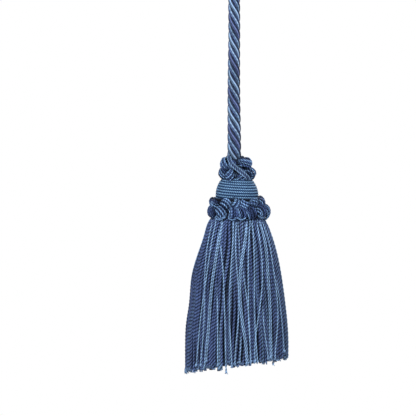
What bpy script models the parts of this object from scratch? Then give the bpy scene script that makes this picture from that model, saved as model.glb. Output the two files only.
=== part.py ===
"""A furnishing tassel on its own twisted rope, which hangs by the eye at the rope's top.

Units are metres, and +Z is up. The origin is the point inside the top of the eye that bears on
a peg or hook, so nearly all of the tassel lies below it. The tassel's front faces -Y.
"""

import random
from math import cos, pi, radians, sin, sqrt, tau

import bmesh
import bpy
import numpy as np
from mathutils import Vector
from mathutils.geometry import delaunay_2d_cdt

MM = 0.001
GAP = 0.3 * MM                  # clearance between pieces that touch on the real thing

# ---- heights, down from the eye's bearing point ----
COLLAR_TOP = -133.0 * MM
RUFF_TOP = COLLAR_TOP - 20.9 * MM
HEAD_FOOT = COLLAR_TOP - 30.0 * MM
ROOT_PLANE = COLLAR_TOP - 34.9 * MM     # where the skirt's yarns part from their band

# ---- the rope: four strands, laid like the middle stroke of an S ----
ROPE_RADIUS = 3.15 * MM
ROPE_GROOVE_RADIUS = 1.95 * MM
ROPE_LAY = 19.6 * MM            # length in which a strand goes round once
ROPE_STRANDS = 4
SECTIONS_PER_LAY = 10
STRAND_SHOULDER = radians(16)   # half the breadth of a strand's rounded top, seen end on
ROPE_PHASE = radians(75)        # where the first strand stands at the rope's lower end

# The rope's route in millimetres: up from the head, round the eye, and down its tail.
ROPE_ROUTE = [
    (0.0, 0.0, -141.7), (0.1, 0.0, -128.0), (0.0, 0.1, -112.0), (-0.1, 0.0, -96.0),
    (0.0, 0.0, -80.0), (0.1, 0.0, -64.0), (0.0, 0.0, -50.0), (0.0, 0.0, -42.0),
    (-0.1, 0.0, -35.7), (-1.1, 0.0, -30.7), (-3.5, 0.0, -26.6), (-7.3, 0.0, -23.1),
    (-11.6, 0.0, -19.0), (-14.2, 0.0, -13.4), (-14.0, 0.0, -7.3), (-11.1, 0.0, -1.9),
    (-6.1, 0.0, 1.8), (0.0, 0.0, 3.2), (6.1, 0.0, 1.8), (11.1, 0.0, -1.9),
    (14.0, 0.0, -7.3), (14.2, 0.0, -13.4), (12.0, 0.0, -19.0), (9.3, 0.0, -24.3),
    (7.5, 0.0, -30.0), (6.8, 0.0, -36.0), (6.7, 0.0, -42.0), (6.8, 0.0, -48.3),
]

# ---- the whipping that closes the eye ----
WHIP_TOP = -36.0 * MM
WHIP_TURNS = 8
WHIP_YARN = 1.15 * MM           # thickness of the yarn, and the pitch of its turns
WHIP_HOLE = ROPE_RADIUS + 1.2 * GAP
TAIL_X = 6.75 * MM              # the tail's place beside the standing rope
WHIP_STEPS = 12                 # sections round each of its two ends

# ---- the head: a domed mould wound with yarn ----
HEAD_X = 1.6 * MM               # the head, ruff and skirt hang a little to the right of the rope
HEAD_RADIUS = 11.2 * MM
DOME_HEIGHT = 12.7 * MM
DOME_FOOT = COLLAR_TOP - 21.1 * MM
HEAD_FLAT = 3.7 * MM            # radius of the flat on top, under the rope's end
BARE_RADIUS = 7.2 * MM          # inside this the collar hides the dome, which is left smooth
RIB_PITCH = 1.55 * MM
RIB_DEPTH = 0.35 * MM
HEAD_STEPS = 36
DOME_SAMPLES = 400              # places tried down the dome for the next rib's row

# ---- the collar and the ruff: rings of plump lobes in two tiers ----
# Columns: where each lobe of the lower tier stands, in degrees from the front towards +X, and
# its size next to the others'. The lobes of the upper tier stand over the grooves between them.
COLLAR_LOBES = [
    (-57, 0.9), (-18, 0.9), (22, 1.0), (68, 1.2), (112, 1.0), (158, 1.0), (205, 0.9), (252, 1.0),
]
RUFF_LOBES = [
    (-75, 0.7), (-40, 1.0), (-11, 0.9), (8, 0.9), (29, 1.0), (59, 1.2), (86, 1.35),
    (110, 1.2), (134, 1.0), (158, 0.9), (182, 1.0), (206, 0.9), (232, 1.0), (259, 0.7),
]
STEPS_PER_LOBE = 6
LOBE_FULLNESS = 0.6             # below 1 the lobes are rounder and the grooves sharper
COLLAR_LEAN = radians(1.6) / MM     # how far a groove turns for each millimetre it goes down
RUFF_LEAN = radians(1.3) / MM
COLLAR_X = 1.06 * MM
COLLAR_HOLE = ROPE_RADIUS + 1.2 * GAP
COLLAR_HOLLOW = 1.8 * MM        # how far its top dips round the rope

# Columns: height from the ring's top, radius, and how far each tier's lobes stand out there (mm).
COLLAR_PROFILE = [
    (-1.6, 4.8, 0.5, 0.0), (-1.5, 6.0, 1.9, 0.0), (-3.4, 6.4, 2.6, 0.0), (-5.2, 6.4, 2.1, 0.0),
    (-6.6, 6.5, 0.3, 0.3), (-8.2, 6.9, 0.0, 2.5), (-10.0, 7.4, 0.0, 2.6), (-11.8, 8.2, 0.0, 1.0),
]
COLLAR_HEART = (2.0, -6.5)      # radius and height that the collar's lobes swell away from
COLLAR_SOLE = (8.6, 6.4, 4.4)   # radii of the rows that lie on the dome

RUFF_PROFILE = [
    (-0.9, 12.3, 0.5, 0.0), (-2.2, 12.4, 2.0, 0.0), (-4.2, 12.4, 2.4, 0.0), (-6.1, 12.3, 0.4, 0.3),
    (-7.6, 12.8, 0.0, 2.9), (-9.6, 13.4, 0.0, 3.4), (-11.3, 14.3, 0.0, 1.7),
]
RUFF_HEART = (6.0, -6.5)
RUFF_INSIDE = [(-12.6, 14.7), (-11.0, 13.0), (-9.2, 11.6), (-0.9, 11.6)]

# ---- the skirt ----
# Columns: height, radius of the outline and place of its centre, left to right (mm).
SKIRT_OUTLINE = [
    (-168.4, 15.5, 1.6), (-174.3, 17.6, 1.9), (-183.9, 20.5, 1.8), (-197.7, 23.8, 1.2),
    (-212.0, 25.5, 1.5), (-222.0, 26.8, 1.3), (-231.6, 27.3, 1.3), (-247.0, 27.0, 1.0),
]
SKIRT_BENDS = (-182.0 * MM, -204.0 * MM)    # heights at which the strands change direction
SKIRT_END = -244.4 * MM
SKIRT_END_SLOPE = 0.118         # the cut ends rise to the right
SKIRT_RAGGED = 0.8 * MM
STRAND_SWAY = 0.2 * MM
# Columns: radius of a ring of strands at their roots (mm), and how many strands it has.
STRAND_RINGS = [(14.7, 60), (12.6, 44), (10.6, 34), (8.5, 26), (6.4, 20), (4.3, 13), (2.2, 7)]
RING_STAGGER = 0.37             # part of a pitch by which each ring is turned past the last
STRAND_DEPTH = 1.25 * MM
STRAND_SHARE = 0.7              # part of its pitch that a strand fills, round the ring
BAND_STEPS = 60
BAND_TOP_RADIUS = 10.9 * MM
BAND_SHOULDER = (15.0 * MM, COLLAR_TOP - 34.3 * MM)

# Colours as linear red, green and blue, and roughness.
ROPE_FINISH = ((0.080, 0.128, 0.240), 0.55)
WHIPPING_FINISH = ((0.045, 0.070, 0.150), 0.60)
COLLAR_FINISH = ((0.055, 0.090, 0.170), 0.60)
HEAD_FINISH = ((0.110, 0.200, 0.340), 0.55)
RUFF_FINISH = ((0.052, 0.088, 0.165), 0.60)
SKIRT_FINISH = ((0.070, 0.115, 0.215), 0.65)


def clear_scene():
    for thing in list(bpy.data.objects):
        bpy.data.objects.remove(thing, do_unlink=True)


def yarn_material(name, finish):
    colour, roughness = finish
    material = bpy.data.materials.new(name)
    material.use_nodes = True
    shader = material.node_tree.nodes["Principled BSDF"]
    shader.inputs["Base Color"].default_value = (*colour, 1.0)
    shader.inputs["Roughness"].default_value = roughness
    shader.inputs["Metallic"].default_value = 0.0
    material.diffuse_color = (*colour, 1.0)
    return material


def object_from(name, mesh, finish, parent):
    """Turn a closed bmesh into a named object, with its faces pointing out."""
    bmesh.ops.recalc_face_normals(mesh, faces=mesh.faces)
    data = bpy.data.meshes.new(name)
    mesh.to_mesh(data)
    mesh.free()
    data.materials.append(yarn_material(name, finish))
    data.shade_smooth()
    data.set_sharp_from_angle(angle=radians(50))
    thing = bpy.data.objects.new(name, data)
    thing.parent = parent
    bpy.context.scene.collection.objects.link(thing)
    return thing


def cap(mesh, row):
    """Close a ring of points with a fan about its middle."""
    middle = mesh.verts.new(sum((vert.co for vert in row), Vector()) / len(row))
    for i, vert in enumerate(row):
        mesh.faces.new((vert, row[(i + 1) % len(row)], middle))


def join_rows(mesh, row, after):
    for i in range(len(row)):
        j = (i + 1) % len(row)
        mesh.faces.new((row[i], row[j], after[j], after[i]))


def loft(sections, closed):
    """A solid through the sections in order, which meets itself or is capped at both ends."""
    mesh = bmesh.new()
    rows = [[mesh.verts.new(point) for point in section] for section in sections]
    for row, after in zip(rows, rows[1:]):
        join_rows(mesh, row, after)
    if closed:
        join_rows(mesh, rows[-1], rows[0])
    else:
        cap(mesh, rows[0])
        cap(mesh, rows[-1])
    return mesh


def smooth_curve(points, spacing):
    """Evenly spaced points on the natural cubic spline through the given points."""
    points = np.array(points)
    chords = np.linalg.norm(np.diff(points, axis=0), axis=1)
    knots = np.concatenate([[0.0], np.cumsum(chords)])
    count = len(points)
    system = np.eye(count)
    target = np.zeros((count, 3))
    for i in range(1, count - 1):
        before, after = chords[i - 1], chords[i]
        system[i, i - 1:i + 2] = before, 2 * (before + after), after
        target[i] = 6 * ((points[i + 1] - points[i]) / after - (points[i] - points[i - 1]) / before)
    bend = np.linalg.solve(system, target)

    def at(place):
        i = int(np.clip(np.searchsorted(knots, place) - 1, 0, count - 2))
        span = chords[i]
        a = (knots[i + 1] - place) / span
        b = (place - knots[i]) / span
        lift = ((a ** 3 - a) * bend[i] + (b ** 3 - b) * bend[i + 1]) * span ** 2 / 6
        return a * points[i] + b * points[i + 1] + lift

    fine = np.array([at(place) for place in np.linspace(0.0, knots[-1], 40 * count)])
    run = np.concatenate([[0.0], np.cumsum(np.linalg.norm(np.diff(fine, axis=0), axis=1))])
    even = np.linspace(0.0, run[-1], round(run[-1] / spacing) + 1)
    return np.stack([np.interp(even, run, fine[:, axis]) for axis in range(3)], axis=1)


def make_rope(parent):
    """The four-lobed section, turned as it goes along the route."""
    route = [Vector(p) for p in smooth_curve(np.array(ROPE_ROUTE) * MM, ROPE_LAY / SECTIONS_PER_LAY)]
    outline = []
    for strand in range(ROPE_STRANDS):
        middle = tau * strand / ROPE_STRANDS
        outline.append((middle - pi / ROPE_STRANDS, ROPE_GROOVE_RADIUS))
        outline.append((middle - STRAND_SHOULDER, ROPE_RADIUS))
        outline.append((middle + STRAND_SHOULDER, ROPE_RADIUS))
    sections = []
    side = Vector((1.0, 0.0, 0.0))
    for i, centre in enumerate(route):
        along = (route[min(i + 1, len(route) - 1)] - route[max(i - 1, 0)]).normalized()
        side = (side - along * side.dot(along)).normalized()
        across = along.cross(side)
        turn = ROPE_PHASE - tau * i / SECTIONS_PER_LAY
        sections.append([
            centre + radius * (cos(angle + turn) * side + sin(angle + turn) * across)
            for angle, radius in outline
        ])
    return object_from("rope", loft(sections, closed=False), ROPE_FINISH, parent)


def make_whipping(parent):
    """Turns of yarn bound round the rope and its tail: a ribbed band with an oblong hole."""
    profile = [(WHIP_HOLE, WHIP_TOP)]
    for turn in range(WHIP_TURNS):
        top = WHIP_TOP - turn * WHIP_YARN
        profile.append((WHIP_HOLE + 0.6 * WHIP_YARN, top - 0.02 * WHIP_YARN))
        profile.append((WHIP_HOLE + WHIP_YARN, top - 0.5 * WHIP_YARN))
    foot = WHIP_TOP - WHIP_TURNS * WHIP_YARN
    profile += [(WHIP_HOLE + 0.6 * WHIP_YARN, foot), (WHIP_HOLE, foot)]
    sections = []
    for end_x, start in ((TAIL_X, -pi / 2), (0.0, pi / 2)):
        for step in range(WHIP_STEPS + 1):
            angle = start + pi * step / WHIP_STEPS
            sections.append([
                Vector((end_x + out * cos(angle), out * sin(angle), z)) for out, z in profile
            ])
    return object_from("whipping", loft(sections, closed=True), WHIPPING_FINISH, parent)


def dome_surface(radius):
    """Height of the dome at a distance from its axis."""
    return DOME_FOOT + DOME_HEIGHT * sqrt(max(0.0, 1.0 - (radius / HEAD_RADIUS) ** 2))


def head_profile():
    """Radius and height from the flat on top to the foot, with a rib for each turn of yarn."""
    rows = [(HEAD_FLAT, dome_surface(HEAD_FLAT)), (BARE_RADIUS, dome_surface(BARE_RADIUS))]
    travelled = 0.0
    last = Vector(rows[-1])
    for slope in np.linspace(0.0, pi / 2, DOME_SAMPLES):
        radius = BARE_RADIUS + (HEAD_RADIUS - BARE_RADIUS) * sin(slope)
        here = Vector((radius, dome_surface(radius)))
        travelled += (here - last).length
        last = here
        if travelled >= RIB_PITCH / 2:
            travelled = 0.0
            in_groove = len(rows) % 2 == 0
            rows.append((radius - (RIB_DEPTH if in_groove else 0.0), here.y))
    rows.append((HEAD_RADIUS, DOME_FOOT - RIB_PITCH / 2))
    rows.append((HEAD_RADIUS, HEAD_FOOT))
    return rows


def make_head(parent):
    sections = [
        [
            Vector((HEAD_X + radius * cos(tau * i / HEAD_STEPS), radius * sin(tau * i / HEAD_STEPS), z))
            for i in range(HEAD_STEPS)
        ]
        for radius, z in head_profile()
    ]
    return object_from("head", loft(sections, closed=False), HEAD_FINISH, parent)


def lobe_steps(lobes):
    """Angles round a ring, with the height there of the lower tier's lobes and of the upper's."""
    count = len(lobes)
    steps = []
    for i, (centre, size) in enumerate(lobes):
        before = lobes[i - 1][0] - (360 if i == 0 else 0)
        after = lobes[(i + 1) % count][0] + (360 if i == count - 1 else 0)
        first, last = (before + centre) / 2, (centre + after) / 2
        for step in range(STEPS_PER_LOBE):
            part = step / STEPS_PER_LOBE
            angle = radians(first + (last - first) * part)
            lower = size * sin(pi * part) ** LOBE_FULLNESS
            upper = size * abs(cos(pi * part)) ** LOBE_FULLNESS
            steps.append((angle, lower, upper))
    return steps


def lobed_rows(profile, heart, top, upper, lower):
    """Radius and height down the outside of a ring, where the tiers swell away from its heart."""
    rows = []
    for z, radius, upper_swell, lower_swell in profile:
        away = Vector((radius - heart[0], z - heart[1])).normalized()
        point = Vector((radius, z)) + away * (upper_swell * upper + lower_swell * lower)
        rows.append((point.x * MM, top + point.y * MM))
    return rows


def front_point(centre_x, radius, angle, z):
    """A point at an angle measured from the front, which faces -Y, towards +X."""
    return Vector((centre_x + radius * sin(angle), -radius * cos(angle), z))


def clear_of_dome(point):
    """The point, lifted where it would otherwise lie in the head's dome or touch it."""
    reach = Vector((point.x - HEAD_X, point.y)).length
    return Vector((point.x, point.y, max(point.z, dome_surface(reach) + 1.5 * GAP)))


def make_collar(parent):
    foot_angle = COLLAR_LEAN * -COLLAR_PROFILE[-1][0] * MM
    sections = []
    for angle, lower, upper in lobe_steps(COLLAR_LOBES):
        section = []
        for radius, z in lobed_rows(COLLAR_PROFILE, COLLAR_HEART, COLLAR_TOP, upper, lower):
            leaning = angle + COLLAR_LEAN * (COLLAR_TOP - z)
            section.append(clear_of_dome(front_point(COLLAR_X, radius, leaning, z)))
        for radius in COLLAR_SOLE:
            low = front_point(COLLAR_X, radius * MM, angle + foot_angle, RUFF_TOP)
            section.append(clear_of_dome(low))
        for z in (RUFF_TOP, COLLAR_TOP - COLLAR_HOLLOW):
            section.append(clear_of_dome(front_point(0.0, COLLAR_HOLE, angle + foot_angle, z)))
        sections.append(section)
    return object_from("collar", loft(sections, closed=True), COLLAR_FINISH, parent)


def make_ruff(parent):
    sections = []
    for angle, lower, upper in lobe_steps(RUFF_LOBES):
        section = []
        for radius, z in lobed_rows(RUFF_PROFILE, RUFF_HEART, RUFF_TOP, upper, lower):
            leaning = angle + RUFF_LEAN * (RUFF_TOP - z)
            section.append(front_point(HEAD_X, radius, leaning, z))
        foot_angle = angle + RUFF_LEAN * -RUFF_PROFILE[-1][0] * MM
        for z, radius in RUFF_INSIDE:
            section.append(front_point(HEAD_X, radius * MM, foot_angle, RUFF_TOP + z * MM))
        sections.append(section)
    return object_from("ruff", loft(sections, closed=True), RUFF_FINISH, parent)


def skirt_outline(z):
    """Radius and centre of the skirt's outline at a height."""
    heights, radii, centres = np.array(SKIRT_OUTLINE).T * MM
    return np.interp(z, heights[::-1], radii[::-1]), np.interp(z, heights[::-1], centres[::-1])


def strand_roots():
    """For each strand, the radius and angle of its root's four corners."""
    roots = []
    for ring, (radius, count) in enumerate(STRAND_RINGS):
        pitch = tau / count
        for i in range(count):
            middle = pitch * (i + RING_STAGGER * ring)
            inner, outer = radius * MM - STRAND_DEPTH / 2, radius * MM + STRAND_DEPTH / 2
            left, right = middle - STRAND_SHARE * pitch / 2, middle + STRAND_SHARE * pitch / 2
            roots.append([(inner, left), (outer, left), (outer, right), (inner, right)])
    return roots


def strand_rows(root, chance):
    """The strand's sections below its root: it spreads with the skirt's outline."""
    root_radius, _ = skirt_outline(ROOT_PLANE)
    middle_angle = (root[0][1] + root[2][1]) / 2
    end_x = skirt_outline(SKIRT_END)[0] / root_radius * root[1][0] * cos(middle_angle)
    end = SKIRT_END + SKIRT_END_SLOPE * end_x + chance.uniform(-SKIRT_RAGGED, SKIRT_RAGGED)
    rows = []
    for z in (*SKIRT_BENDS, end):
        radius, centre = skirt_outline(z)
        spread = radius / root_radius
        sway = chance.uniform(-STRAND_SWAY, STRAND_SWAY) / (spread * root[1][0])
        rows.append([
            Vector((centre + spread * r * cos(angle + sway), spread * r * sin(angle + sway), z))
            for r, angle in root
        ])
    return rows


def make_skirt(parent):
    """Strands that stand apart below the band which fuses their roots, as one solid."""
    chance = random.Random(7)
    roots = strand_roots()
    band_radius, band_x = skirt_outline(ROOT_PLANE)
    rim = [(band_radius, tau * i / BAND_STEPS) for i in range(BAND_STEPS)]
    loops = [rim] + roots
    flat = [Vector((r * cos(a), r * sin(a))) / MM for loop in loops for r, a in loop]
    faces, start = [], 0
    for loop in loops:
        faces.append(list(range(start, start + len(loop))))
        start += len(loop)
    points, _, triangles, origins, _, owners = delaunay_2d_cdt(flat, [], faces, 1, 1e-5)

    mesh = bmesh.new()
    verts = [mesh.verts.new((band_x + p.x * MM, p.y * MM, ROOT_PLANE)) for p in points]
    placed = {origin: verts[i] for i, own in enumerate(origins) for origin in own}
    for triangle, owner in zip(triangles, owners):
        if max(owner) == 0:     # the band's own underside, between the roots
            mesh.faces.new([verts[i] for i in triangle])
    for face, root in zip(faces[1:], roots):
        row = [placed[i] for i in face]
        for points_below in strand_rows(root, chance):
            below = [mesh.verts.new(point) for point in points_below]
            join_rows(mesh, row, below)
            row = below
        mesh.faces.new(row)

    row = [placed[i] for i in faces[0]]
    for radius, z in (BAND_SHOULDER, (BAND_TOP_RADIUS, HEAD_FOOT - GAP)):
        above = [mesh.verts.new((band_x + radius * cos(a), radius * sin(a), z)) for _, a in rim]
        join_rows(mesh, row, above)
        row = above
    cap(mesh, row)
    return object_from("skirt", mesh, SKIRT_FINISH, parent)


def main():
    clear_scene()
    tassel = bpy.data.objects.new("tassel", None)
    bpy.context.scene.collection.objects.link(tassel)
    make_rope(tassel)
    make_whipping(tassel)
    make_collar(tassel)
    make_head(tassel)
    make_ruff(tassel)
    make_skirt(tassel)


main()
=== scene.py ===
"""A furnishing tassel on its twisted rope, dressed yarn by yarn.

Lengths are in millimetres, and MM turns them into metres. +Z is up, the tassel's front faces -Y,
and the origin is the place inside the top of the rope's eye where it bears on its peg. An angle
round the tassel is 0 at the front and rises towards +X.
"""
import math
from collections import namedtuple

import bpy
import numpy as np
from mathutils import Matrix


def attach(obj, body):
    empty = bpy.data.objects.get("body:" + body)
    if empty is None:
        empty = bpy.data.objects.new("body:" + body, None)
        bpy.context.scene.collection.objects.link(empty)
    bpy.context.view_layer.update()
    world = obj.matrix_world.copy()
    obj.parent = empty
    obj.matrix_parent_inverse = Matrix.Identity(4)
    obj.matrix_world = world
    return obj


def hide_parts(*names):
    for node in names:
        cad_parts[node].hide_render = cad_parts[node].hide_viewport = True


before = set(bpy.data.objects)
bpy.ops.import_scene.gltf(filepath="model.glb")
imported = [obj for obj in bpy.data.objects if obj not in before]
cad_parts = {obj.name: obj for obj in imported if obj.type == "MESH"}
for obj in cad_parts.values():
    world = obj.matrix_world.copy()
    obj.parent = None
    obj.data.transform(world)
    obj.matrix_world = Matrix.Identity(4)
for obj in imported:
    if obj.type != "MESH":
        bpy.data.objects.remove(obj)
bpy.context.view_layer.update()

MM = 0.001
TAU = 2 * math.pi
UP = np.array((0.0, 0.0, 1.0))
FRONT = np.array((0.0, -1.0, 0.0))
ROPE_SEED = 11                          # random numbers of the rope, the whipping and the head
COLLAR_SEED = 2                         # and those of the other pieces
RUFF_SEED = 1
SKIRT_SEED = 2
random = np.random.default_rng(ROPE_SEED)

# ---- the view and the light ----
VIEW_CENTRE = (-13.8, 0.0, -160.6)      # the point in the middle of the picture
VIEW_WIDTH = 220.5                      # width of the picture at the tassel
VIEW_DISTANCE = 4000.0
VIEW_ELEVATION = math.radians(4.4)
SENSOR_WIDTH = 36.0
FLOOR_LEVEL = -700.0
FLOOR_RADIUS = 1000.0
FLOOR_COLOUR = (0.86, 0.86, 0.86, 1.0)
LIGHTS_FACE = (0.0, 0.0, -0.17)         # the place that every light faces (m)
# Columns: name, place (m), width (m), power (W).
LIGHTS = [
    ("key", (-0.7, -2.2, 1.5), 0.7, 105.0),
    ("fill", (1.9, -1.6, 0.2), 1.2, 20.0),
    ("back", (0.6, 2.2, 1.5), 0.9, 90.0),
]

# ---- colours of the yarn, linear ----
LIGHT = np.array((0.150, 0.248, 0.405))
PALE = np.array((0.165, 0.255, 0.400))
MID = np.array((0.068, 0.115, 0.215))
NAVY = np.array((0.037, 0.059, 0.137))
PURPLE = np.array((0.046, 0.064, 0.138))
# near black, painted shade: the cores under the loops and the head's mould take it, so that the gaps
# between yarns show dark
DARK = np.array((0.005, 0.008, 0.019))
SHADED = 0.5                            # how bright a yarn stays where it lies against the next one: painted shade between neighbours
LOOP_SHADED = 0.25                      # and how bright a loop's yarn stays there, the same painted shade

# ---- the make and finish of yarn ----
PLIES = 2
YARN_WAIST = 0.5                        # how thin a yarn looks where one ply lies behind the other
FIBRE_DETAIL = 3.0
FIBRE_SCALE = 1.6
FIBRE_RUN = 0.55                        # how fast the fibres change along a yarn, per millimetre
FIBRE_RELIEF = 0.5                      # strength of the relief that they give
FIBRE_DEPTH = 0.12
DRIFT_RUN = 0.16                        # how fast a yarn's colour drifts, per millimetre
DRIFT = 0.25                            # and how far
NOISE_RANGE = (0.3, 0.7)                # what the noise mostly stays within
RIDGE_RANGE = (0.32, 0.88)              # how far up a ply's ridge the painted shade of its groove goes
CUT_PLY = 0.25                          # a cut end gets the painted shade of a place between groove and ridge
YARN_GLOSS = 0.06
CORE_PLIES = 12                         # grooves round a core under the loops or the winding
CORE_RUN = 10.0                         # length in which its finish counts a radian

# ---- the rope ----
ROPE_LAY = 19.6                         # length in which a strand goes round once
ROPE_STRANDS = 4
ROPE_PHASE = math.radians(75)
STRAND_PLACE = 1.88                     # from the rope's middle to a strand's
STRAND_RADIUS = 1.62
STRAND_YARNS = 9
STRAND_SECTIONS = 24                    # in one lay
STRAND_PASSES = 6                       # yarns that pass over a strand's crown in one lay
ROPE_OPENS = (-130.0, -76.0)            # the rope gets thicker downwards between these heights
ROPE_FULLNESS = (1.08, 0.935)           # how thick it is there, next to its usual size
ROPE_ROUTE = [                          # up from the head, round the eye, and down its tail
    (0.0, 0.0, -141.7), (0.1, 0.0, -128.0), (0.0, 0.1, -112.0), (-0.1, 0.0, -96.0),
    (0.0, 0.0, -80.0), (0.1, 0.0, -64.0), (0.0, 0.0, -50.0), (0.0, 0.0, -42.0),
    (-0.1, 0.0, -35.7), (-1.1, 0.0, -30.7), (-3.5, 0.0, -26.6), (-7.3, 0.0, -23.1),
    (-11.6, 0.0, -19.0), (-14.2, 0.0, -13.4), (-14.0, 0.0, -7.3), (-11.1, 0.0, -1.9),
    (-6.1, 0.0, 1.8), (0.0, 0.0, 3.2), (6.1, 0.0, 1.8), (11.1, 0.0, -1.9),
    (14.0, 0.0, -7.3), (14.2, 0.0, -13.4), (12.0, 0.0, -19.0), (9.3, 0.0, -24.3),
    (7.5, 0.0, -30.0), (6.8, 0.0, -36.0), (6.7, 0.0, -42.0), (6.8, 0.0, -48.3),
]
# Columns: the colour of each strand's light yarns, how strongly they are beaded, and the colours of
# the yarns below and above each of them.
STRAND_COLOURS = [
    (PALE * 0.98, 0.0, LIGHT * 0.36, NAVY * 0.3), (LIGHT * 0.62, 0.25, NAVY * 1.1, NAVY * 0.3),
    (PURPLE * 1.5, 0.1, PURPLE * 0.75, NAVY * 0.28), (PALE * 0.76, 0.3, NAVY * 1.2, NAVY * 0.35),
]
STRAND_DOTS = 0.4                       # how strongly the dark yarns are dotted

# ---- the whipping ----
WHIP_TOP = -36.0
WHIP_TURNS = 8
WHIP_YARN = 1.15                        # thickness of the yarn, and the pitch of its turns
WHIP_HOLE = 3.51
WHIP_TWIST = 2.6                        # length in which its plies go round once
WHIP_SPACING = 0.45                     # from one section of its tube to the next
TAIL_X = 6.75                           # the tail's place beside the standing rope

# ---- the head ----
HEAD_X = 1.6
HEAD_RADIUS = 11.5
DOME_HEIGHT = 12.7
DOME_FOOT = -154.1
HEAD_FOOT = -162.7
HEAD_FLAT = 3.9
RIB_PITCH = 1.52
RIB_YARN = 0.46                         # radius of the light yarn wound on the head
RIB_SUNK = 0.14                         # how much deeper the dark yarn between its turns lies
RIB_FILL = RIB_PITCH / 2 - RIB_YARN + 0.34      # radius of that dark yarn, which fills the gap
RIB_TURN = 2.3
RIB_ABOUT = 9.0                         # a middling radius, for how finely the winding is divided
RIB_TILT = -0.035                       # the ribs fall to the right
MOULD_INSET = 1.0                       # how far inside the winding the mould ends
MOULD_DROP = 0.3
MOULD_HOLE = 0.2
HEAD_TINT = LIGHT * (0.70, 0.81, 0.83)
HEAD_DARK = NAVY * (0.2, 0.42, 0.55)

# ---- the loops of the collar and the ruff ----
COLLAR_X = 1.06
LOOP_YARN = 0.47                        # radius of a yarn
LOOP_TURN = 3.2
LOOP_SPACING = 0.84                     # from one yarn of a loop to the next
LOOP_SWING = math.radians(165)          # how far round a loop goes, up and down from its crest
LOOP_STRAY = 0.12                       # how unevenly its yarns lie side by side and turn
LOOP_TAPER = 0.22                       # how much smaller than the middle yarn its outer ones are
LOOP_NESTED = (0.6, 0.25)               # sizes of the loops nested in it
LOOP_LEAN = 22                          # how unevenly the loops lean to the side, in degrees
LOOP_FOOT_PAINTED_SHADE = 0.25                        # how bright a loop's yarns stay where they go in, with painted shade there
LOOP_CAST = np.array((1.0, 1.1, 1.225))     # the loops are a little bluer than the skirt
SCALLOP_LEVEL = -163.7
SCALLOP_PLACE = 16.0                    # distance from the ruff's middle
# Closed profiles of (radius, height) under the loops.
RUFF_CORE = [
    (11.7, -154.9), (12.2, -154.9), (12.4, -158.0), (12.7, -161.0), (13.2, -164.0),
    (13.4, -165.4), (12.9, -165.8), (11.7, -163.0),
]
COLLAR_CORE = [
    (3.5, -134.4), (4.6, -134.4), (5.4, -137.0), (5.8, -140.0), (6.6, -143.0),
    (7.4, -144.6), (6.9, -144.8), (4.4, -141.6), (3.5, -141.3),
]

# ---- the skirt ----
# Columns: height, radius of the outline and place of its centre, left to right.
SKIRT_OUTLINE = [
    (-162.8, 10.5, 1.7), (-165.6, 13.5, 1.7), (-168.4, 15.4, 1.7), (-174.3, 17.6, 2.0),
    (-183.9, 20.6, 1.9), (-197.7, 23.9, 1.3), (-212.0, 25.6, 1.6), (-222.0, 26.9, 1.4),
    (-231.6, 27.4, 1.4), (-249.0, 27.1, 1.1),
]
SKIRT_TOP = -163.6
SKIRT_END = -242.9
SKIRT_REACH = 27.0                      # its radius at the cut ends
FACE_YARNS = 49                         # outer yarns in the front half, and in the rear half
UNDER_YARNS = 110                       # yarns in the layer under them, their navy darkened as painted shade
UNDER_DEPTH = 2.0
INNER_YARNS = 260                       # yarns that fill the rest
INNER_REACH = 0.88                      # their share of the skirt's radius
END_SLOPE = 0.124                       # the cut ends rise to the right
END_TILT = 0.085                        # and towards the front
END_RAGGED = 0.8
YARN = 0.77                             # radius of a skirt yarn
YARN_DEPTH = YARN - 0.15                # how far below the outline its middle lies
SLANT = 0.4                             # rise of the line along which yarns' plies are in step
STEP_RADIUS = 22.0                      # the radius at which that rise is true
OUT_OF_STEP = 0.14                      # how far a yarn's plies lie out of that line, in turns
TIP_FIBRES = 7                          # fibres that splay from a cut end
TIP_SPREAD = (1.06, 1.16, 1.26)         # how the last sections of a cut end widen
LIGHT_YARN = 0.45                       # radius of a light one that lies over the others
LIGHT_DEPTH = LIGHT_YARN - 0.35         # how far below the outline its middle lies
LIGHT_HIDDEN = 1.4                      # how much deeper it lies where its neighbours hide it
LIGHT_EDGE = 0.985                      # how near the skirt's left or right edge it may come
LIGHT_SPACING = 0.86                    # from one to the next where they lie side by side
LIGHT_FRONT = 25.0                      # how far in front of the middle they are cut off
REAR_LIGHTS = (math.radians(96), math.radians(262))     # the scattered ones lie between these
REAR_COPY = math.radians(1.9)           # from one to the next where they lie side by side
TOP_PAINTED_LIGHT = 0.2                          # how much brighter the yarns are at the top: painted light
TOP_PAINTED_LIGHT_FOOT = -195.0                  # where that painted light starts
TOP_PAINTED_LIGHT_RISE = 22.0                    # and in what height it comes to the full
YARN_TURN = 3.8                         # length in which its two plies go round once
REAR_TURN = 4.7                         # and the same behind, where the twist is looser

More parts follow.
